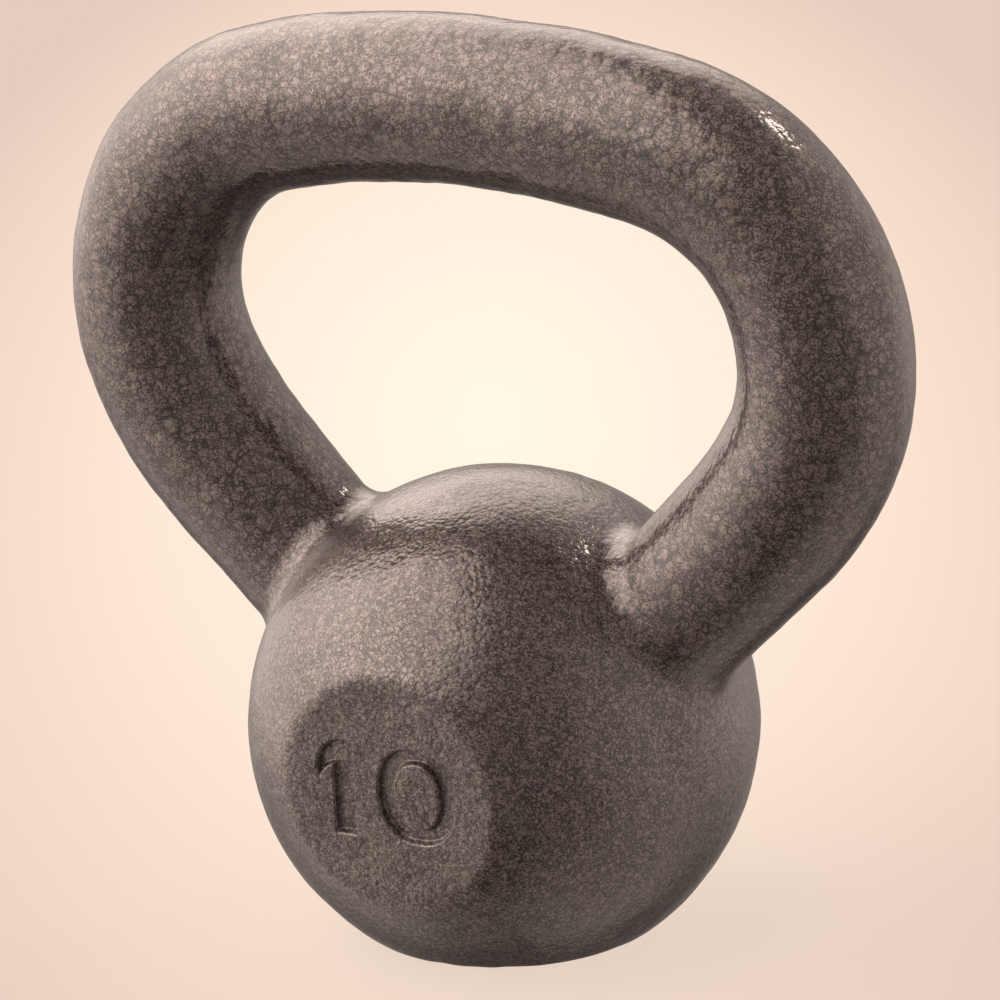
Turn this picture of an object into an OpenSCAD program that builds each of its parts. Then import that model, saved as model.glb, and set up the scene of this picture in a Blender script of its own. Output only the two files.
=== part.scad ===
// Kettlebell: a cast-iron ball that stands on a flat base, with a thick looped handle.
//
// The handle is one round bar, bent in the X-Z plane in five arcs: a shallow crown,
// two tight corners and two slack sides. Its straight legs are seated in blind sockets
// in the ball, and a dressed weld bead blends each leg into the ball's surface.
// Frame: +Z up, X across the handle, -Y the numbered front, and the origin at the
// centre of the flat base, on the floor.

/* [Ball] */
// Diameter of the ball
ball_d = 93; // [88:1:100]
// Diameter of the flat base that the ball stands on
base_d = 53; // [40:1:60]
// Diameter of the round flat that carries the number, and of its plain twin behind
flat_d = 43; // [42:1:50]

/* [Handle] */
// Height of the whole kettlebell
overall_h = 169.7; // [165:0.1:174]
// Diameter of the handle bar at the crown
bar_d = 30.8; // [26:0.2:33]
// Extra radius of the bar at its corners
corner_swell = 0.4; // [0.3:0.1:0.8]
// Bend radius of the crown, to the bar's centreline
crown_r = 187; // [150:1:220]
// Angle that the crown turns on each side of the middle
crown_angle = 12; // [10:0.5:14]
// Bend radius of each corner
corner_r = 37.7; // [36:0.1:40]
// Angle that each corner turns
corner_angle = 107.6; // [104:0.1:109]
// Bend radius of each side, below its corner
side_r = 72; // [60:1:80]
// Angle that each side turns before it runs straight
side_angle = 15.1; // [14:0.1:18]

/* [Roots] */
// Depth of each leg's seat in the ball, along the leg
seat_depth = 28; // [15:1:30]
// Radius of the concave weld fillet between a leg and the ball
fillet_r = 6; // [4:0.5:8]

/* [Number] */
// Height of the figures
figure_h = 17.8; // [14:0.1:20]
// Depth of the figures below their flat
figure_depth = 1.5; // [1:0.1:3]

/* [Hidden] */
$fn = 96;

// Clearance of a leg in its socket, and of a weld bead on the iron under it
socket_gap = 0.1;
bead_gap = 0.03;
// Thickness of a weld bead at its toes
toe = 0.2;
// Facets of a weld bead: round the leg, across its fillet and across its two backs
bead_sides = 60;
fillet_steps = 6;
back_steps = 2;
// How far a cutting solid runs past what it cuts
past = 1;
// Where two stretches of the bar join, the thinner one runs this far into the thicker
lap = 0.5;
// How much thinner the radius of each stretch is than the one above it, below the corners
thinning = 0.1;

ball_r = ball_d / 2;
crown_bar_r = bar_d / 2;
corner_bar_r = crown_bar_r + corner_swell;
side_bar_r = corner_bar_r - thinning;
leg_bar_r = side_bar_r - thinning;
ball_z = sqrt(pow(ball_r, 2) - pow(base_d / 2, 2));
flat_y = sqrt(pow(ball_r, 2) - pow(flat_d / 2, 2));

// The bar's centreline, from the middle of the crown down to the right-hand leg.
// A heading is the angle that the bar has turned, clockwise from +X. Each bend starts
// where the one before it ends, so its centre lies on the line of that end's radius.
function radial(heading) = [sin(heading), cos(heading)];
crown_end = crown_angle;
corner_end = crown_end + corner_angle;
leg_heading = corner_end + side_angle;
crown_c = [0, overall_h - crown_bar_r - crown_r];
corner_c = crown_c + (crown_r - corner_r) * radial(crown_end);
side_c = corner_c + (corner_r - side_r) * radial(corner_end);
leg_top = side_c + side_r * radial(leg_heading);

// A root's own frame: its origin is the point of the leg's axis nearest the ball's
// centre, its Z runs up the leg and its X points out from under the handle.
root_offset = (leg_top - [0, ball_z]) * radial(leg_heading);
root_foot = [0, ball_z] + root_offset * radial(leg_heading);
root_tilt = leg_heading - 90;
leg_skin = sqrt(pow(ball_r, 2) - pow(root_offset, 2));
leg_len = norm(leg_top - root_foot);
seat_z = leg_skin - seat_depth;

// Height in a root's frame where the point (x, y) meets a sphere of radius r about
// the ball's centre
function skin_z(x, y, r) = sqrt(pow(r, 2) - pow(x + root_offset, 2) - pow(y, 2));

// One cross-section of a weld bead, round the leg at angle a. A ball of radius
// fillet_r rolls in the corner, so its envelope touches both the leg and the ball.
function roll_centre(a) =
    let (reach = leg_bar_r + toe + fillet_r)
    let (x = reach * cos(a), y = reach * sin(a))
    [x, y, skin_z(x, y, ball_r + toe + fillet_r)];
function slerp(u, v, t) =
    let (w = acos(u * v))
    (sin((1 - t) * w) * u + sin(t * w) * v) / sin(w);
function fillet_points(a) =
    let (c = roll_centre(a))
    let (to_leg = [-cos(a), -sin(a), 0])
    let (to_ball = [-root_offset, 0, 0] - c)
    [for (i = [0:fillet_steps]) c + fillet_r * slerp(to_leg, to_ball / norm(to_ball), i / fillet_steps)];
// Points on the ball under the bead, from its lower toe in to the leg
function ball_back_points(a) =
    let (c = roll_centre(a))
    let (reach_in = leg_bar_r + bead_gap)
    let (from_centre = c + [root_offset, 0, 0])
    let (b = from_centre * (ball_r / norm(from_centre)) - [root_offset, 0, 0])
    let (reach_out = norm([b.x, b.y]))
    let (turn = atan2(b.y, b.x) - a)
    [for (i = [0:back_steps])
        let (s = i / back_steps)
        let (reach = reach_out + (reach_in - reach_out) * s)
        let (angle = a + (1 - s) * atan2(sin(turn), cos(turn)))
        let (x = reach * cos(angle), y = reach * sin(angle))
        [x, y, skin_z(x, y, ball_r + bead_gap)]];
// Point on the leg at the bead's upper toe
function leg_back_point(a) =
    let (reach = leg_bar_r + bead_gap)
    [reach * cos(a), reach * sin(a), roll_centre(a).z];
function bead_section(a) = concat(fillet_points(a), ball_back_points(a), [leg_back_point(a)]);

// A closed ring of equal cross-sections, joined in quads that are split in two
module ring(sections) {
    n = len(sections);
    m = len(sections[0]);
    points = [for (section = sections) each section];
    faces = [for (i = [0:n - 1], j = [0:m - 1])
        let (i2 = (i + 1) % n, j2 = (j + 1) % m)
        each [[i * m + j, i2 * m + j2, i * m + j2], [i * m + j, i2 * m + j, i2 * m + j2]]];
    polyhedron(points, faces);
}

// Places its children in the right-hand root's frame
module at_root() {
    translate([root_foot.x, 0, root_foot.y])
    rotate([0, root_tilt, 0])
    children();
}

// A solid bend of the bar about the centre c, between two headings. It may run on past
// either end by a lap.
module bend(c, r, bar_r, from, to, start_lap = 0, end_lap = 0) {
    start = from - start_lap / r * 180 / PI;
    end = to + end_lap / r * 180 / PI;
    translate([c.x, 0, c.y])
    rotate([90, 0, 0])
    rotate_extrude(angle = end - start, start = 90 - end)
    translate([r, 0])
    circle(r = bar_r);
}

module leg() {
    at_root()
    translate([0, 0, seat_z])
    cylinder(r = leg_bar_r, h = leg_len + lap - seat_z);
}

module socket() {
    at_root()
    translate([0, 0, seat_z - socket_gap])
    cylinder(r = leg_bar_r + socket_gap, h = ball_r);
}

// Half of the loop, without the crown
module side() {
    bend(corner_c, corner_r, corner_bar_r, crown_end, corner_end);
    bend(side_c, side_r, side_bar_r, corner_end, leg_heading, start_lap = lap);
    leg();
}

// Figures, drawn in the plane of their flat with x to the right. Each is centred on
// the flat's height, and the sizes are shares of the height of the figures.
stem_w = figure_h * 0.235;
stem_x = -figure_h * 0.52;
stem_round = figure_h * 0.09;
flag_r = figure_h * 0.33;
flag_inner_r = figure_h * 0.205;
flag_inner_c = [stem_x - figure_h * 0.07, figure_h * 0.025];
flag_tip_angle = 167;
oval_x = figure_h * 0.315;
oval_half = [figure_h * 0.44, figure_h / 2];
counter_half = [figure_h * 0.255, figure_h * 0.345];
oval_power = 2.3;
oval_steps = 48;
arc_steps = 10;

function arc(c, r, from, to) =
    [for (i = [0:arc_steps])
        let (a = from + (to - from) * i / arc_steps)
        c + r * [cos(a), sin(a)]];
// A superellipse with half-widths half.x and half.y
function oval(half) =
    [for (i = [0:oval_steps - 1])
        let (a = 360 * i / oval_steps)
        let (c = cos(a), s = sin(a))
        [half.x * sign(c) * pow(abs(c), 2 / oval_power), half.y * sign(s) * pow(abs(s), 2 / oval_power)]];

module figure_one() {
    left = stem_x - stem_w / 2;
    right = stem_x + stem_w / 2;
    top = figure_h / 2;
    join_angle = acos((left - flag_inner_c.x) / flag_inner_r);
    polygon(concat(
        [[left, -top], [right, -top]],
        arc([right - stem_round, top - stem_round], stem_round, 0, 90),
        arc([stem_x + stem_w * 0.1, top - flag_r], flag_r, 90, 180),
        arc(flag_inner_c, flag_inner_r, flag_tip_angle, join_angle)
    ));
}

module figure_nought() {
    translate([oval_x, 0])
    difference() {
        polygon(oval(oval_half));
        polygon(oval(counter_half));
    }
}

module number_recess() {
    translate([0, figure_depth - flat_y, 0])
    rotate([90, 0, 0])
    linear_extrude(height = figure_depth + past) {
        figure_one();
        figure_nought();
    }
}

module ball() {
    color([0.42, 0.38, 0.36])
    difference() {
        translate([0, 0, ball_z])
        difference() {
            intersection() {
                sphere(r = ball_r);
                translate([-ball_r - past, -flat_y, -ball_z])
                cube([2 * (ball_r + past), 2 * flat_y, ball_z + ball_r + past]);
            }
            number_recess();
        }
        socket();
        mirror([1, 0, 0]) socket();
    }
}

module handle() {
    color([0.46, 0.42, 0.40]) {
        bend(crown_c, crown_r, crown_bar_r, -crown_end, crown_end, start_lap = lap, end_lap = lap);
        side();
        mirror([1, 0, 0]) side();
    }
}

module right_root_weld() {
    color([0.50, 0.46, 0.43])
    at_root()
    ring([for (i = [0:bead_sides - 1]) bead_section(360 * i / bead_sides)]);
}

module left_root_weld() {
    mirror([1, 0, 0])
    right_root_weld();
}

ball();
handle();
left_root_weld();
right_root_weld();
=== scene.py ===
"""Kettlebell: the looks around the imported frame.

The visual ball, handle and two root welds each stand for the CAD node of the same name. Lengths
in this script are millimetres until a mesh is made, and angles are degrees where they are named
as constants. The row frame is the CAD's: +Z up, X across the handle, -Y out of the numbered
front, origin at the centre of the base. The studio's own lengths are metres.
"""

import math

import bmesh
import bpy
import numpy as np
from mathutils import Matrix, Vector


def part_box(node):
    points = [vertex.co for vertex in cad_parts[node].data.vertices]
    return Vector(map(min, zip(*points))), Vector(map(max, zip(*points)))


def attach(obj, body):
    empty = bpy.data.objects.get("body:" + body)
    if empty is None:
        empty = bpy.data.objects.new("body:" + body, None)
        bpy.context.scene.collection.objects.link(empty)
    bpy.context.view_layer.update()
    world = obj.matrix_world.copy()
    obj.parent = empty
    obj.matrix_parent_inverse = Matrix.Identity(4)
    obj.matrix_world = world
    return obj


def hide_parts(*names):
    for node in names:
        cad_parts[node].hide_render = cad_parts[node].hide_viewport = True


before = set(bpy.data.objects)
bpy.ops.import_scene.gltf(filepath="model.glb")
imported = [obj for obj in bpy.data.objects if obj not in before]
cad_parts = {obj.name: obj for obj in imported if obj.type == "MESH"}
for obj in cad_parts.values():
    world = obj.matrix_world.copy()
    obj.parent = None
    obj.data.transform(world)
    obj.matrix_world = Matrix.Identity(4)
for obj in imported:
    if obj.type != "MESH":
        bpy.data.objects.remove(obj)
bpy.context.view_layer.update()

MM = 0.001

# ---------------------------------------------------------------- sizes, from the frame

ball_low, ball_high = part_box("ball")
handle_low, handle_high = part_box("handle")
BALL_R = (ball_high.x - ball_low.x) / 2 / MM
BALL_Z = ball_high.z / MM - BALL_R
FLAT_Y = ball_high.y / MM
# Radius of the CAD bar at the crown, and height of its centreline there
CROWN_BAR_R = 15.4
LOOP_TOP_Z = handle_high.z / MM - CROWN_BAR_R

# ---------------------------------------------------------------- sizes of the visual

# The bar's bends from the middle of the crown downwards: centreline radius and angle turned
BENDS = ((187.0, 12.0), (37.7, 107.6), (72.0, 15.1))
# Length of bar over which one bend's curvature passes into the next one's
BEND_EASE = 7.0
# The centreline is worked out this far beyond the last bend, down the straight leg
LEG_REACH = 80.0
# Depth of each leg's end below the ball's surface, along the leg. It is a little short of the seat's.
SEAT_DEPTH = 26.0
# The bar's radius at the crown, at the end of each bend, and at the root, which it reaches this far
# below the last bend. It stays inside the CAD bar.
BAR_RADII = (15.2, 15.4, 15.75, 15.6)
ROOT_BAR_R = 15.0
TAPER_LENGTH = 13.0
# Radius of the rounded edge at each end of the bar
END_ROUND = 1.0

# Radii of the welds' fillets, of the base's edge and of the flats' edges
FILLET_R = 6.0
BASE_ROUND = 1.2
FLAT_ROUND = 0.5
# Beyond its toes a fillet runs on this far, sinking to this depth under the iron, and it is this thick
TOE_RUN = 1.6
TOE_TUCK = 0.03
WELD_THICKNESS = 2.0

# Height and depth of the figures, width of their sloped walls, and how far outside the outline
# a wall starts
FIGURE_H = 17.8
FIGURE_DEPTH = 1.5
FIGURE_WALL = 0.5
WALL_LEAD = 0.12
# Middle and half-sizes of the patch of the front flat that the figures fill, where the ball's grid is
# finer, and the distance from the flat's centre that no figure passes
NUMBER_X = -FIGURE_H * 0.03
NUMBER_HALF = (FIGURE_H * 0.86, FIGURE_H * 0.58)
NUMBER_REACH = FIGURE_H * 1.2

# Ripples of the cast and painted surface: how many waves, their shortest and longest lengths, and
# the mean slope of each set, as the root of its mean square
RIPPLES = ((70, 2.6, 6.0, 0.022), (40, 9.0, 24.0, 0.016))
# The surface lies this far below its nominal place. No ripple rises above that place or sinks
# below it by more than the depth.
RIPPLE_ROOM = 0.1
RIPPLE_DEPTH = 0.3
# Points that are rippled at one time, to keep the arrays small
CHUNK = 20000

rng = np.random.default_rng(10)


# ---------------------------------------------------------------- small tools

def make_mesh(name, points, faces):
    """A smooth-shaded mesh object from points in millimetres."""
    mesh = bpy.data.meshes.new(name)
    mesh.from_pydata((np.asarray(points) * MM).tolist(), [], faces)
    mesh.validate()
    mesh.shade_smooth()
    piece = bpy.data.objects.new(name, mesh)
    bpy.context.scene.collection.objects.link(piece)
    return piece


def build_waves():
    """Wave vectors, phases and heights of the ripples, in directions spread over the sphere."""
    waves = []
    for count, shortest, longest, slope in RIPPLES:
        for _ in range(count):
            direction = rng.normal(size=3)
            k = 2 * math.pi / rng.uniform(shortest, longest)
            phase = rng.uniform(0, 2 * math.pi)
            # Along any line, a wave's mean square slope is a half for its sine and a third for its direction
            height = slope / k * math.sqrt(2 * 3 / count)
            waves.append((*(direction / np.linalg.norm(direction) * k), phase, height))
    return np.array(waves)


WAVES = build_waves()


def rippled(points, normals):
    """Points moved along their outward normals by the ripples, never out of the plain surface."""
    height = np.zeros(len(points))
    for start in range(0, len(points), CHUNK):
        part = points[start:start + CHUNK]
        height[start:start + CHUNK] = np.cos(part @ WAVES[:, :3].T + WAVES[:, 3]) @ WAVES[:, 4]
    return points + normals * np.clip(height - RIPPLE_ROOM, -RIPPLE_DEPTH, 0)[:, None]


def smoothstep(t):
    t = np.clip(t, 0, 1)
    return t * t * (3 - 2 * t)


def towards(azimuth, elevation):
    """The direction at an azimuth, from the front towards +X, and an elevation, in degrees."""
    a, e = math.radians(azimuth), math.radians(elevation)
    return Vector((math.sin(a) * math.cos(e), -math.cos(a) * math.cos(e), math.sin(e)))


def ring_faces(rows, columns, close_rows=False):
    """Quads over a grid of rows x columns points that wraps round its columns, and its rows too if asked."""
    faces = []
    for i in range(rows if close_rows else rows - 1):
        for j in range(columns):
            i2, j2 = (i + 1) % rows, (j + 1) % columns
            faces.append((i * columns + j, i * columns + j2, i2 * columns + j2, i2 * columns + j))
    return faces


# ---------------------------------------------------------------- the bar's centreline

def bar_path(step=0.05):
    """Arc length, x, z and heading along the right half of the bar, from the crown's middle.

    A heading is the angle turned clockwise from +X. The curvature of the bends is eased into
    each other over BEND_EASE, as a real bend is.
    """
    lengths = [r * math.radians(a) for r, a in BENDS]
    ends = np.cumsum(lengths)
    s = np.arange(0, ends[-1] + LEG_REACH, step)
    curvature = np.zeros_like(s)
    for (r, _), start, end in zip(BENDS, np.r_[0, ends[:-1]], ends):
        curvature[(s >= start) & (s < end)] = 1 / r
    width = int(BEND_EASE / step)
    kernel = np.ones(width) / width
    padded = np.r_[curvature[width:0:-1], curvature, np.zeros(width)]
    eased = np.convolve(padded, kernel, mode="same")[width:-width]
    heading = np.r_[0, np.cumsum((eased[1:] + eased[:-1]) / 2 * step)]
    heading *= math.radians(sum(a for _, a in BENDS)) / heading[-1]
    mid = (heading[1:] + heading[:-1]) / 2
    x = np.r_[0, np.cumsum(np.cos(mid) * step)]
    z = LOOP_TOP_Z - np.r_[0, np.cumsum(np.sin(mid) * step)]
    return s, x, z, heading, ends


path_s, path_x, path_z, path_h, bend_ends = bar_path()
leg_heading = path_h[-1]
# Up the right leg and square to it, outwards, as x and z
leg_up = np.array([-math.cos(leg_heading), math.sin(leg_heading)])
leg_out = np.array([math.sin(leg_heading), math.cos(leg_heading)])
leg_point = np.array([path_x[-1], path_z[-1]])
ball_centre = np.array([0.0, BALL_Z])
# A root's frame: its origin is the leg axis's nearest point to the ball's centre, its Z runs up
# the leg and its X points out from under the handle
root_offset = float((leg_point - ball_centre) @ leg_out)
root_foot = ball_centre + root_offset * leg_out
# Height in that frame where the leg's axis meets the ball's surface
leg_skin = math.sqrt(BALL_R**2 - root_offset**2)
# Arc lengths from the crown's middle to the foot, to the ball's surface and to the leg's end
s_foot = path_s[-1] + float((leg_point - root_foot) @ leg_up)
s_skin = s_foot - leg_skin
s_end = s_skin + SEAT_DEPTH


def bar_radius(s, samples=600, width=35, past=5.0):
    """The bar's radius at arc length s from the crown's middle, smoothed over width samples."""
    knots = [0, *bend_ends, bend_ends[-1] + TAPER_LENGTH]
    radii = [*BAR_RADII, ROOT_BAR_R]
    fine = np.linspace(0, s_end + past, samples)
    rough = np.interp(fine, knots, radii)
    padded = np.r_[rough[width:0:-1], rough, np.full(width, rough[-1])]
    window = np.hanning(width + 2)[1:-1]
    smooth = np.convolve(padded, window / window.sum(), "same")
    return np.interp(np.abs(s), fine, smooth[width:-width])


def to_root(points, side):
    """Points in a root's frame, moved to the row frame. side is 1 for the right root, -1 for the left."""
    x, y, z = points.T
    row_x = root_foot[0] + x * leg_out[0] + z * leg_up[0]
    row_z = root_foot[1] + x * leg_out[1] + z * leg_up[1]
    return np.stack([side * row_x, y, row_z], axis=1)


# ---------------------------------------------------------------- handle

def close_end(points, faces, ring, sides, cap_rings, flip):
    """Closes the bar at one of its rings with smaller and smaller rings and a point in the middle."""
    last = [ring * sides + j for j in range(sides)]
    outer = np.array([points[i] for i in last])
    centre = outer.mean(axis=0)
    for k in range(1, cap_rings):
        share = 1 - k / cap_rings
        ids = list(range(len(points), len(points) + sides))
        points.extend((centre + (outer - centre) * share).tolist())
        for j in range(sides):
            j2 = (j + 1) % sides
            quad = (last[j], ids[j], ids[j2], last[j2])
            faces.append(quad if flip else quad[::-1])
        last = ids
    points.append(centre.tolist())
    for j in range(sides):
        tri = (last[j], len(points) - 1, last[(j + 1) % sides])
        faces.append(tri if flip else tri[::-1])


def build_handle(ring_step=0.8, sides=120, cap_rings=8):
    """The bar as rings of points round its centreline, closed at both ends."""
    half = np.arange(0, s_end, ring_step)
    half = half * (s_end / half[-1])
    s = np.r_[-half[:0:-1], half]
    x = np.interp(np.abs(s), path_s, path_x) * np.sign(s)
    z = np.interp(np.abs(s), path_s, path_z)
    heading = np.interp(np.abs(s), path_s, path_h) * np.sign(s)
    # The rounded edge at each end, down in its socket
    shrink = np.clip(1 - (s_end - np.abs(s)) / END_ROUND, 0, 1)
    r = bar_radius(s) - END_ROUND * (1 - np.sqrt(1 - shrink**2))
    angle = np.arange(sides) * 2 * math.pi / sides
    normals = np.stack([
        np.cos(angle) * np.sin(heading)[:, None],
        np.sin(angle) * np.ones_like(x)[:, None],
        np.cos(angle) * np.cos(heading)[:, None],
    ], axis=2)
    middle = np.stack([x, np.zeros_like(x), z], axis=1)[:, None, :]
    points = (middle + r[:, None, None] * normals).reshape(-1, 3)
    points = rippled(points, normals.reshape(-1, 3)).tolist()
    faces = [f[::-1] for f in ring_faces(len(s), sides)]
    close_end(points, faces, 0, sides, cap_rings, flip=True)
    close_end(points, faces, len(s) - 1, sides, cap_rings, flip=False)
    return make_mesh("handle_bar", points, faces)


# ---------------------------------------------------------------- figures of the number

# Measures of the figures, in the plane of their flat and from its centre
STEM_W = FIGURE_H * 0.235
STEM_X = -FIGURE_H * 0.52
STEM_ROUND = FIGURE_H * 0.09
FLAG_R = FIGURE_H * 0.33
FLAG_INNER_R = FIGURE_H * 0.205
FLAG_INNER_C = (STEM_X - FIGURE_H * 0.07, FIGURE_H * 0.025)
FLAG_TIP_ANGLE = 167
OVAL_X = FIGURE_H * 0.315
OVAL_HALF = (FIGURE_H * 0.44, FIGURE_H / 2)
COUNTER_HALF = (FIGURE_H * 0.255, FIGURE_H * 0.345)
# Power of the superellipses that bound the nought
OVAL_POWER = 2.3
# Stands in for zero in a division
TINY = 1e-12


def arc(centre, r, start, end, steps=12):
    """Points along an arc, from one angle to another in degrees."""
    a = np.radians(np.linspace(start, end, steps + 1))
    return np.stack([centre[0] + r * np.cos(a), centre[1] + r * np.sin(a)], axis=1)


def oval(half, steps=72):
    """The outline of a superellipse with these half-widths, where the nought is."""
    a = np.arange(steps) * 2 * math.pi / steps
    c, s = np.cos(a), np.sin(a)
    x = half[0] * np.sign(c) * np.abs(c) ** (2 / OVAL_POWER)
    y = half[1] * np.sign(s) * np.abs(s) ** (2 / OVAL_POWER)
    return np.stack([OVAL_X + x, y], axis=1)


def figure_one():
    """The outline of the one."""
    left, right = STEM_X - STEM_W / 2, STEM_X + STEM_W / 2
    top = FIGURE_H / 2
    join = math.degrees(math.acos((left - FLAG_INNER_C[0]) / FLAG_INNER_R))
    return np.vstack([
        [[left, -top], [right, -top]],
        arc((right - STEM_ROUND, top - STEM_ROUND), STEM_ROUND, 0, 90),
        arc((STEM_X + STEM_W * 0.1, top - FLAG_R), FLAG_R, 90, 180),
        arc(FLAG_INNER_C, FLAG_INNER_R, FLAG_TIP_ANGLE, join),
    ])


def outline_distance(x, z, outline):
    """Signed distance from points to a closed outline, negative inside it."""
    a = outline
    b = np.roll(outline, -1, axis=0)
    nearest = np.full(x.shape, np.inf)
    inside = np.zeros(x.shape, bool)
    for (ax, az), (bx, bz) in zip(a, b):
        ex, ez = bx - ax, bz - az
        t = np.clip(((x - ax) * ex + (z - az) * ez) / (ex * ex + ez * ez + TINY), 0, 1)
        nearest = np.minimum(nearest, np.hypot(x - ax - t * ex, z - az - t * ez))
        crosses = (az > z) != (bz > z)
        with np.errstate(divide="ignore", invalid="ignore"):
            at = ax + (z - az) * ex / (ez if ez else TINY)
        inside ^= crosses & (x < at)
    return np.where(inside, -nearest, nearest)


def number_depth(x, z):
    """How far the figures sink the front flat at (x, z), both from the flat's centre."""
    one = outline_distance(x, z, figure_one())
    nought = np.maximum(
        outline_distance(x, z, oval(OVAL_HALF)),
        -outline_distance(x, z, oval(COUNTER_HALF)),
    )
    into = -np.minimum(one, nought)
    return FIGURE_DEPTH * smoothstep((into + WALL_LEAD) / FIGURE_WALL)


# ---------------------------------------------------------------- ball

def rounded_cut(solid, plane, q):
    """The distance field of a solid cut by a plane, with the new edge rounded by q."""
    both = np.hypot(np.maximum(solid + q, 0), np.maximum(plane + q, 0)) - q
    return np.where((solid > -q) & (plane > -q), both, np.maximum(solid, plane))


def ball_field(p):
    """Distance field of the ball without its number, about the ball's centre."""
    d = np.linalg.norm(p, axis=1) - BALL_R
    d = rounded_cut(d, -p[:, 1] - FLAT_Y, FLAT_ROUND)
    d = rounded_cut(d, p[:, 1] - FLAT_Y, FLAT_ROUND)
    return rounded_cut(d, -p[:, 2] - BALL_Z, BASE_ROUND)


def near_figures(face):
    """Whether a face of the cube is near the figures, with the cube's front laid on the front flat."""
    c = face.calc_center_median() * FLAT_Y
    in_front = c.y < -0.99 * FLAT_Y
    return in_front and abs(c.x - NUMBER_X) < NUMBER_HALF[0] and abs(c.z) < NUMBER_HALF[1]


def ball_surface(direction, halvings=34, reach=1.05):
    """Where rays from the ball's centre leave the ball, found by halving a stretch of reach radii."""
    near, far = np.zeros(len(direction)), np.full(len(direction), BALL_R * reach)
    for _ in range(halvings):
        middle = (near + far) / 2
        outside = ball_field(direction * middle[:, None]) > 0
        far = np.where(outside, middle, far)
        near = np.where(outside, near, middle)
    return direction * far[:, None]


def ball_normals(p, h=0.01):
    """Outward normals at points on the ball, from the slope of its field over 2h."""
    slopes = [ball_field(p + h * axis) - ball_field(p - h * axis) for axis in np.eye(3)]
    normals = np.stack(slopes, axis=1)
    return normals / np.linalg.norm(normals, axis=1)[:, None]


def build_ball(segments=84, cuts=3):
    """A cube's faces, spread at equal angles and pushed out to the ball's surface."""
    bm = bmesh.new()
    bmesh.ops.create_cube(bm, size=2)
    bmesh.ops.subdivide_edges(bm, edges=bm.edges[:], cuts=segments - 1, use_grid_fill=True)
    for v in bm.verts:
        v.co = [math.tan(c * math.pi / 4) for c in v.co]
    # A finer grid where the figures are
    edges = list(dict.fromkeys(e for f in bm.faces if near_figures(f) for e in f.edges))
    bmesh.ops.subdivide_edges(bm, edges=edges, cuts=cuts, use_grid_fill=True)
    bm.normal_update()
    bm.verts.ensure_lookup_table()
    direction = np.array([v.co for v in bm.verts], float)
    direction /= np.linalg.norm(direction, axis=1)[:, None]
    p = ball_surface(direction)
    centre = np.array([0, 0, BALL_Z])
    p = rippled(p + centre, ball_normals(p)) - centre
    on_flat = p[:, 1] < -FLAT_Y + 2 * RIPPLE_DEPTH
    front = on_flat & (np.hypot(p[:, 0], p[:, 2]) < NUMBER_REACH)
    p[front, 1] += number_depth(p[front, 0], p[front, 2])
    p[:, 2] += BALL_Z
    for v, co in zip(bm.verts, p):
        v.co = co * MM
    mesh = bpy.data.meshes.new("ball_shell")
    bm.to_mesh(mesh)
    bm.free()
    mesh.shade_smooth()
    piece = bpy.data.objects.new("ball_body", mesh)
    bpy.context.scene.collection.objects.link(piece)
    return piece


# ---------------------------------------------------------------- root welds

def weld_rows(sides, steps=16, toe_steps=3):
    """A weld in a root's frame: rows of points from its upper toe to its lower one, the outward
    normals of each row, and the rows that lead back underneath.
    """
    a = np.arange(sides) * 2 * math.pi / sides
    reach = ROOT_BAR_R + FILLET_R
    cx, cy = reach * np.cos(a), reach * np.sin(a)
    cz = np.sqrt((BALL_R + FILLET_R) ** 2 - (cx + root_offset) ** 2 - cy**2)
    centre = np.stack([cx, cy, cz], axis=1)
    to_leg = np.stack([-np.cos(a), -np.sin(a), np.zeros(sides)], axis=1)
    ball_at = np.array([-root_offset, 0, 0])
    to_ball = (ball_at - centre) / (BALL_R + FILLET_R)
    w = np.arccos(np.sum(to_leg * to_ball, axis=1))[:, None]
    rows, normals = [], []
    # Up the leg beyond the toe, sinking a little under its surface
    for k in range(toe_steps, 0, -1):
        share = k / toe_steps
        p = centre + FILLET_R * to_leg
        p[:, 2] += TOE_RUN * share
        rows.append(p + to_leg * TOE_TUCK * share**2)
        normals.append(-to_leg)
    for i in range(steps + 1):
        t = i / steps
        n = (np.sin((1 - t) * w) * to_leg + np.sin(t * w) * to_ball) / np.sin(w)
        rows.append(centre + FILLET_R * n)
        normals.append(-n)
    # On over the ball beyond the other toe
    outward = -to_ball
    away = to_leg - np.sum(to_leg * outward, axis=1)[:, None] * outward
    away = -away / np.linalg.norm(away, axis=1)[:, None]
    for k in range(1, toe_steps + 1):
        share = k / toe_steps
        turn = TOE_RUN * share / BALL_R
        n = np.cos(turn) * outward + np.sin(turn) * away
        rows.append(ball_at + n * (BALL_R - TOE_TUCK * share**2))
        normals.append(n)
    # Back underneath, inside the ball, the corner between them and the leg
    in_ball = rows[-1] - outward * WELD_THICKNESS
    in_leg = centre + (FILLET_R + WELD_THICKNESS) * to_leg
    in_corner = (in_ball + centre + FILLET_R * (to_leg + to_ball) * 0.9) / 2
    return rows, normals, [in_ball, in_corner + (to_leg + to_ball) * WELD_THICKNESS, in_leg]


def build_weld(name, side, sides=240):
    """A fillet rolled round the corner of leg and ball, tucked under both at its toes."""
    rows, normals, under = weld_rows(sides)
    origin = to_root(np.zeros((1, 3)), side)
    seen = np.concatenate([to_root(row, side) for row in rows])
    seen_normals = np.concatenate([to_root(n, side) - origin for n in normals])
    hidden = np.concatenate([to_root(row, side) for row in under])
    points = np.concatenate([rippled(seen, seen_normals), hidden])
    faces = ring_faces(len(rows) + len(under), sides, close_rows=True)
    if side > 0:
        faces = [f[::-1] for f in faces]
    return make_mesh(name, points, faces)


# ---------------------------------------------------------------- materials

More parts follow.
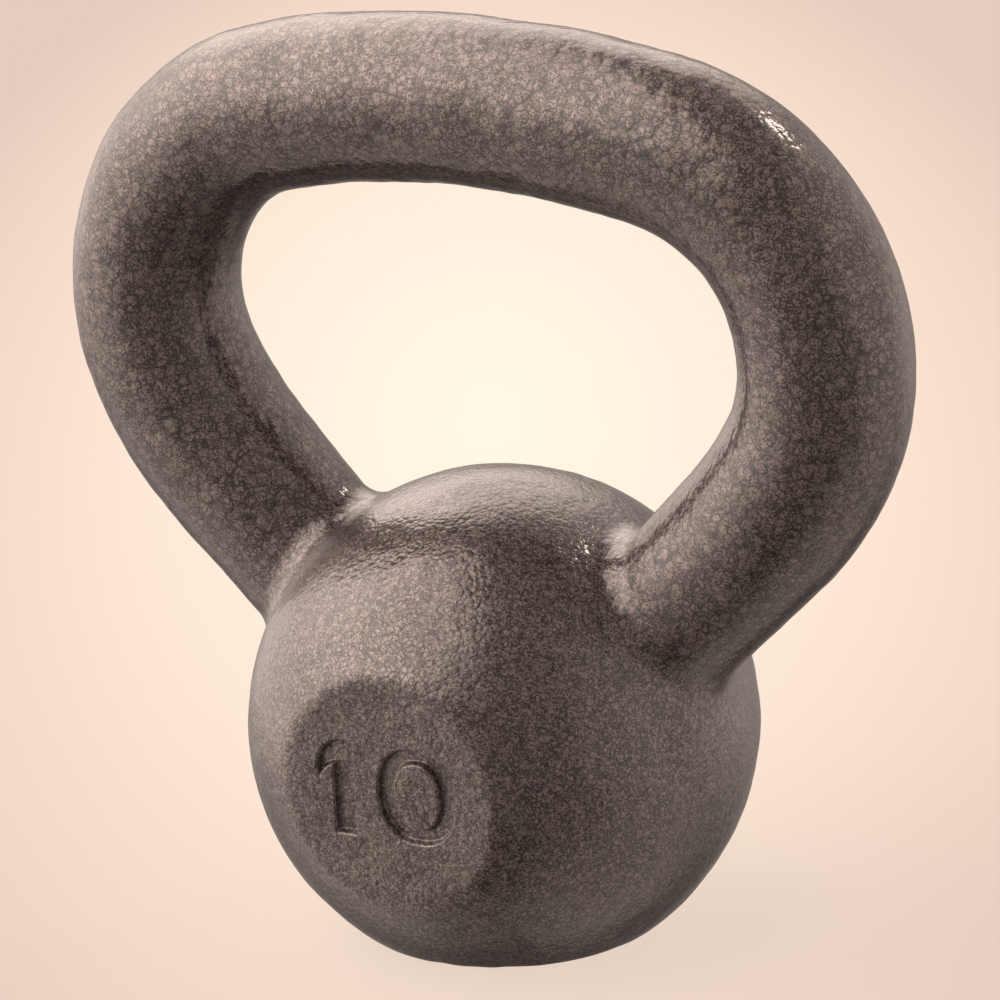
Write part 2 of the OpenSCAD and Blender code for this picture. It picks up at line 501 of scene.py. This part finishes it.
# Hammered enamel: domed cells of light metal flake between thin dark valleys of bare resin, under
# a clear coat. Colours are linear and lengths are millimetres.
VALLEY_COLOUR = (0.010, 0.0078, 0.0073, 1)
FLAKE_COLOURS = ((0.036, 0.029, 0.027, 1), (0.218, 0.178, 0.166, 1))
FLAKE_METAL = 0.65
# Sizes of the single flakes and of the grain that they gather in
FLAKE_SIZE = 0.27
GRAIN_SIZE = 0.42
# Cells are larger where the enamel lies thicker. Fainter small cells lie over them, a share of
# their size across, and take this share of the tone away in their own valleys.
CELL_SIZES = {"ball_enamel": 1.0, "handle_enamel": 1.7, "weld_enamel": 1.2}
SMALL_CELL_SHARE = 0.55
SMALL_CELL_DIMMING = 0.36
# A noise of this size bends the pattern out of its straight lines, by up to half of this shift
DRIFT_SIZE = 5 / 3
DRIFT_SHIFT = 1.0
# Shares of the cell size over which a valley fades into its cell, and over which a painted shade of its
# dome darkens a cell from its middle outwards, to a share of its tone
EDGE_FADE = (-0.02, 0.085)
DOME_SHADE_FADE = (0.10, 0.75)
DOME_SHADE_RIM_TONE = 0.62
# Valleys widen and close again over this distance, by this share of a cell
UNEVEN_SIZE = 2.6
UNEVEN_SHARE = 0.24
# Heights of a cell's dome and of the grain on it
DOME_HEIGHT = 0.08
GRAIN_HEIGHT = 0.008
# Shares of a cell's own tone, of the grain and of the single flakes in the paint's tone, and the
# values between which that tone goes from the dark flake colour to the light one
TONE_SHARES = (0.16, 0.42, 0.42)
TONE_FADE = (0.38, 0.60)
# Broad patches of slightly different paint: their size, the noise values between which one tint
# passes into the other, and the two tints
PATCH_SIZE = 9.0
PATCH_FADE = (0.35, 0.65)
PATCH_TINTS = ((0.97, 0.99, 0.95, 1), (1.02, 0.98, 1.02, 1))
# The same all over: the flake paint's own gloss and the sharp clear coat on it
ENAMEL_SETTINGS = {
    "Roughness": 0.38,
    "Specular IOR Level": 0.3,
    "Coat Weight": 1.0,
    "Coat Roughness": 0.07,
    "Coat IOR": 1.5,
}


class Nodes:
    """The node tree of a material or a world, with one call to add a node and link its inputs."""

    def __init__(self, owner):
        self.tree = owner.node_tree

    def add(self, kind, inputs=(), **settings):
        node = self.tree.nodes.new(kind)
        for key, value in settings.items():
            setattr(node, key, value)
        for key, value in dict(inputs).items():
            if isinstance(value, bpy.types.NodeSocket):
                self.tree.links.new(value, node.inputs[key])
            else:
                node.inputs[key].default_value = value
        return node

    def math(self, operation, a, b=0.0, c=0.0):
        return self.add("ShaderNodeMath", {0: a, 1: b, 2: c}, operation=operation).outputs[0]

    def ramp(self, value, start, end):
        """0 below start and 1 above end, with a smooth step between them."""
        ends = {"Value": value, "From Min": start, "From Max": end}
        return self.add("ShaderNodeMapRange", ends, interpolation_type="SMOOTHSTEP").outputs["Result"]

    def mix(self, share, a, b, blend="MIX"):
        node = self.add("ShaderNodeMix", data_type="RGBA", blend_type=blend)
        for slot, value in zip((0, 6, 7), (share, a, b)):
            if isinstance(value, bpy.types.NodeSocket):
                self.tree.links.new(value, node.inputs[slot])
            else:
                node.inputs[slot].default_value = value
        return node.outputs[2]


def places_in_mm(n):
    """Places on the object in millimetres, as they are and bent by the drift."""
    place = n.add("ShaderNodeTexCoord").outputs["Object"]
    in_mm = n.add("ShaderNodeVectorMath", {0: place, 1: (1 / MM,) * 3}, operation="MULTIPLY").outputs[0]
    drift = n.add("ShaderNodeTexNoise", {"Vector": in_mm, "Scale": 1 / DRIFT_SIZE, "Detail": 1.0})
    centred = n.add("ShaderNodeVectorMath", {0: drift.outputs["Color"], 1: (0.5,) * 3}, operation="SUBTRACT")
    shift = n.add("ShaderNodeVectorMath", {0: centred.outputs[0], "Scale": DRIFT_SHIFT}, operation="SCALE")
    return in_mm, n.add("ShaderNodeVectorMath", {0: in_mm, 1: shift.outputs[0]}).outputs[0]


def enamel_material(name):
    """The enamel of one material slot, with cells of that slot's size."""
    cell_size = CELL_SIZES[name]
    material = bpy.data.materials.new(name)
    material.use_nodes = True
    n = Nodes(material)
    shader = material.node_tree.nodes["Principled BSDF"]
    in_mm, warped = places_in_mm(n)

    def voronoi(size, feature):
        return n.add("ShaderNodeTexVoronoi", {"Vector": warped, "Scale": 1 / size}, feature=feature)

    def noise(size):
        inputs = {"Vector": in_mm, "Scale": 1 / size, "Detail": 2.0}
        return n.add("ShaderNodeTexNoise", inputs).outputs[0]

    def tone_of(node):
        return n.add("ShaderNodeSeparateColor", {0: node.outputs["Color"]}).outputs[0]

    cell = voronoi(cell_size, "F1")
    edge = voronoi(cell_size, "DISTANCE_TO_EDGE").outputs["Distance"]
    small_edge = voronoi(cell_size * SMALL_CELL_SHARE, "DISTANCE_TO_EDGE").outputs["Distance"]
    flake = voronoi(FLAKE_SIZE, "F1")
    grain = noise(GRAIN_SIZE)

    distance = cell.outputs["Distance"]
    # Painted shade of each cell's dome: full tone in its middle, darker towards its rim
    rounded = n.math("MULTIPLY_ADD", n.ramp(distance, *DOME_SHADE_FADE), DOME_SHADE_RIM_TONE - 1.0, 1.0)
    uneven = n.math("MULTIPLY_ADD", noise(UNEVEN_SIZE), UNEVEN_SHARE, -UNEVEN_SHARE / 2)
    large_cells_and_dome_shade = n.math("MULTIPLY", rounded, n.ramp(n.math("ADD", edge, uneven), *EDGE_FADE))
    small_cells = n.ramp(small_edge, *EDGE_FADE)
    faint_cells = n.math("MULTIPLY_ADD", small_cells, SMALL_CELL_DIMMING, 1 - SMALL_CELL_DIMMING)
    cells_and_dome_shade = n.math("MULTIPLY", large_cells_and_dome_shade, faint_cells)
    shades = (tone_of(cell), grain, tone_of(flake))
    cell_part, grain_part, flake_part = (n.math("MULTIPLY", t, w) for t, w in zip(shades, TONE_SHARES))
    tone = n.math("ADD", cell_part, n.math("ADD", grain_part, flake_part))
    flake_paint = n.mix(n.ramp(tone, *TONE_FADE), *FLAKE_COLOURS)
    paint = n.mix(cells_and_dome_shade, VALLEY_COLOUR, flake_paint)
    tint = n.mix(n.ramp(noise(PATCH_SIZE), *PATCH_FADE), *PATCH_TINTS)
    n.tree.links.new(n.mix(1.0, paint, tint, "MULTIPLY"), shader.inputs["Base Color"])
    n.tree.links.new(n.math("MULTIPLY", cells_and_dome_shade, FLAKE_METAL), shader.inputs["Metallic"])

    dome = n.math("MULTIPLY", n.math("MULTIPLY", distance, distance), -DOME_HEIGHT)
    height = n.math("ADD", dome, n.math("MULTIPLY", grain, GRAIN_HEIGHT))
    relief = n.add("ShaderNodeBump", {"Height": height, "Distance": MM, "Strength": 1.0}).outputs[0]
    n.tree.links.new(relief, shader.inputs["Normal"])
    n.tree.links.new(relief, shader.inputs["Coat Normal"])

    for socket, value in ENAMEL_SETTINGS.items():
        shader.inputs[socket].default_value = value
    return material


# ---------------------------------------------------------------- assembly

PIECES = (
    (build_ball(), "ball", "ball_enamel"),
    (build_handle(), "handle", "handle_enamel"),
    (build_weld("left_root_bead", -1), "left_root_weld", "weld_enamel"),
    (build_weld("right_root_bead", 1), "right_root_weld", "weld_enamel"),
)
ENAMELS = {slot: enamel_material(slot) for slot in CELL_SIZES}
for piece, node, slot in PIECES:
    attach(piece, "root")
    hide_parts(node)
    piece.data.materials.append(ENAMELS[slot])


# ---------------------------------------------------------------- camera

CAMERA_AZIMUTH = 30.93
CAMERA_ELEVATION = 18.35
CAMERA_ROLL = -3.09
CAMERA_DISTANCE = 27.01 * BALL_R
CAMERA_LENS = 249.3
SENSOR_WIDTH = 36
# The point in the middle of the view: right and up from the ball's centre, across the view
AIM_RIGHT, AIM_UP = -0.80, 39.66


def build_camera():
    a, roll = math.radians(CAMERA_AZIMUTH), math.radians(CAMERA_ROLL)
    back = towards(CAMERA_AZIMUTH, CAMERA_ELEVATION)
    level = Vector((math.cos(a), math.sin(a), 0))
    upright = back.cross(level)
    right = math.cos(roll) * level + math.sin(roll) * upright
    up = -math.sin(roll) * level + math.cos(roll) * upright
    place = Vector((0, 0, BALL_Z)) + CAMERA_DISTANCE * back + AIM_RIGHT * right + AIM_UP * up
    data = bpy.data.cameras.new("camera")
    data.lens = CAMERA_LENS
    data.sensor_width = SENSOR_WIDTH
    data.clip_start = 0.05
    camera = bpy.data.objects.new("camera", data)
    axes = Matrix((right, up, back)).transposed().to_4x4()
    camera.matrix_world = Matrix.Translation(place * MM) @ axes
    bpy.context.scene.collection.objects.link(camera)
    bpy.context.scene.camera = camera


build_camera()


# ---------------------------------------------------------------- studio

LIGHT_COLOUR = (1.0, 0.84, 0.76)
# The room around: its radiance from below, what it gains towards the top, and the height of the
# direction, -1 straight down and 1 straight up, where that gain starts and ends
ROOM_GLOW = 0.081
ROOM_GAIN = 0.27
ROOM_FADE = (-0.8, -0.2)
# Soft glows of the studio: azimuth from the front towards +X and elevation of the middle, degrees
# from there to the inner and the outer edge of the fade, and radiance. Straight edges cut them: azimuth
# and elevation of the edge's inward axis, and the degrees along it where its fade starts and ends.
KEY_GLOWS = ((-58, 50, 5, 62, 2.45), (-76, 8, 5, 76, 1.35))
KEY_EDGES = ((-65, -6.5, -3, 6), (0, 90, -26, -6))
BACK_GLOWS = ((120, 6, 20, 75, 0.7), (-144, 36, 5, 36, 2.0))
BACK_EDGES = ((0, -90, -62, -46), (0, 90, -60, -8))
# Light that comes back up from the floor, on both sides
FLOOR_GLOWS = ((-60, -40, 5, 50, 0.72), (100, -58, 5, 46, 0.6))
# The small bright lamp behind the right corner: azimuth, elevation, degrees across, radiance. Its
# distance is in metres.
GLINT = (156, 46, 8.5, 15)
GLINT_DISTANCE = 3.0


def build_world():
    world = bpy.data.worlds.new("studio")
    bpy.context.scene.world = world
    world.use_nodes = True
    n = Nodes(world)
    direction = n.add("ShaderNodeTexCoord").outputs["Generated"]

    def facing(azimuth, elevation):
        inputs = {0: direction, 1: towards(azimuth, elevation)}
        return n.add("ShaderNodeVectorMath", inputs, operation="DOT_PRODUCT").outputs["Value"]

    def light(glows, edges):
        """The sum of some glows, cut by straight edges."""
        total = 0.0
        for azimuth, elevation, inner, outer, radiance in glows:
            fade = [math.cos(math.radians(a)) for a in (outer, inner)]
            shine = n.math("MULTIPLY", n.ramp(facing(azimuth, elevation), *fade), radiance)
            total = n.math("ADD", shine, total)
        for azimuth, elevation, start, end in edges:
            fade = [math.sin(math.radians(a)) for a in (start, end)]
            total = n.math("MULTIPLY", total, n.ramp(facing(azimuth, elevation), *fade))
        return total

    room = n.math("MULTIPLY_ADD", n.ramp(facing(0, 90), *ROOM_FADE), ROOM_GAIN, ROOM_GLOW)
    lights = n.math("ADD", light(KEY_GLOWS, KEY_EDGES), light(BACK_GLOWS, BACK_EDGES))
    lights = n.math("ADD", lights, light(FLOOR_GLOWS, ()))
    background = world.node_tree.nodes["Background"]
    background.inputs["Color"].default_value = (*LIGHT_COLOUR, 1)
    n.tree.links.new(n.math("ADD", lights, room), background.inputs["Strength"])


def build_glint():
    azimuth, elevation, across, radiance = GLINT
    data = bpy.data.lights.new("glint", "AREA")
    data.shape = "DISK"
    data.size = 2 * GLINT_DISTANCE * math.tan(math.radians(across / 2))
    # A flat lamp's power is its radiance times pi, over the area of its disc
    data.energy = radiance * math.pi * (math.pi * data.size**2 / 4)
    data.color = LIGHT_COLOUR
    light = bpy.data.objects.new("glint", data)
    direction = towards(azimuth, elevation)
    # It shines at about the middle of the kettlebell's height
    light.location = Vector((0, 0, 2 * BALL_Z * MM)) + GLINT_DISTANCE * direction
    light.rotation_euler = direction.to_track_quat("Z", "Y").to_euler()
    light.visible_camera = False
    bpy.context.scene.collection.objects.link(light)


# The pale floor, in metres: colours of its pool of light from the middle outwards, how much of them
# is its own glow and how much it throws back, how far behind the object the pool's middle lies, and
# the pool's half-lengths across and along the view
FLOOR_COLOURS = {
    0.0: (0.99, 0.965, 0.807, 1),
    0.35: (0.98, 0.88, 0.745, 1),
    0.55: (0.97, 0.80, 0.672, 1),
    0.75: (0.888, 0.716, 0.604, 1),
    1.0: (0.77, 0.61, 0.52, 1),
}
FLOOR_GLOW = 0.82
FLOOR_ALBEDO = 0.12
POOL_BACK = 0.30
POOL_HALF = (0.153, 0.51)
FLOOR_HALF = 30.0


def floor_material():
    """A pool of pale light in the middle of a darker floor, mostly by its own glow."""
    material = bpy.data.materials.new("floor")
    material.use_nodes = True
    n = Nodes(material)
    shader = material.node_tree.nodes["Principled BSDF"]
    place = n.add("ShaderNodeTexCoord").outputs["Object"]
    turn = {"Vector": place, "Angle": math.radians(-CAMERA_AZIMUTH)}
    turned = n.add("ShaderNodeVectorRotate", turn, rotation_type="Z_AXIS").outputs[0]
    moved = n.add("ShaderNodeVectorMath", {0: turned, 1: (0, -POOL_BACK, 0)}).outputs[0]
    shares = {0: moved, 1: (1 / POOL_HALF[0], 1 / POOL_HALF[1], 0)}
    pool = n.add("ShaderNodeVectorMath", shares, operation="MULTIPLY").outputs[0]
    reach = n.add("ShaderNodeVectorMath", {0: pool}, operation="LENGTH").outputs["Value"]
    ramp = n.add("ShaderNodeValToRGB", {0: reach})
    stops = ramp.color_ramp.elements
    while len(stops) < len(FLOOR_COLOURS):
        stops.new(0.5)
    for stop, (position, colour) in zip(stops, FLOOR_COLOURS.items()):
        stop.position = position
        stop.color = colour
    n.tree.links.new(ramp.outputs[0], shader.inputs["Emission Color"])
    albedo = n.mix(1.0, ramp.outputs[0], (FLOOR_ALBEDO,) * 3 + (1,), "MULTIPLY")
    n.tree.links.new(albedo, shader.inputs["Base Color"])
    shader.inputs["Emission Strength"].default_value = FLOOR_GLOW
    shader.inputs["Roughness"].default_value = 1.0
    shader.inputs["Specular IOR Level"].default_value = 0.0
    return material


def build_floor():
    mesh = bpy.data.meshes.new("floor")
    size = FLOOR_HALF
    corners = [(-size, -size, 0), (size, -size, 0), (size, size, 0), (-size, size, 0)]
    mesh.from_pydata(corners, [], [(0, 1, 2, 3)])
    mesh.materials.append(floor_material())
    floor = bpy.data.objects.new("floor", mesh)
    bpy.context.scene.collection.objects.link(floor)
    # The kettlebell mirrors the studio's glows, and not the floor
    floor.visible_glossy = floor.visible_diffuse = floor.visible_shadow = False


build_world()
build_glint()
build_floor()
bpy.context.scene.view_settings.view_transform = "Standard"
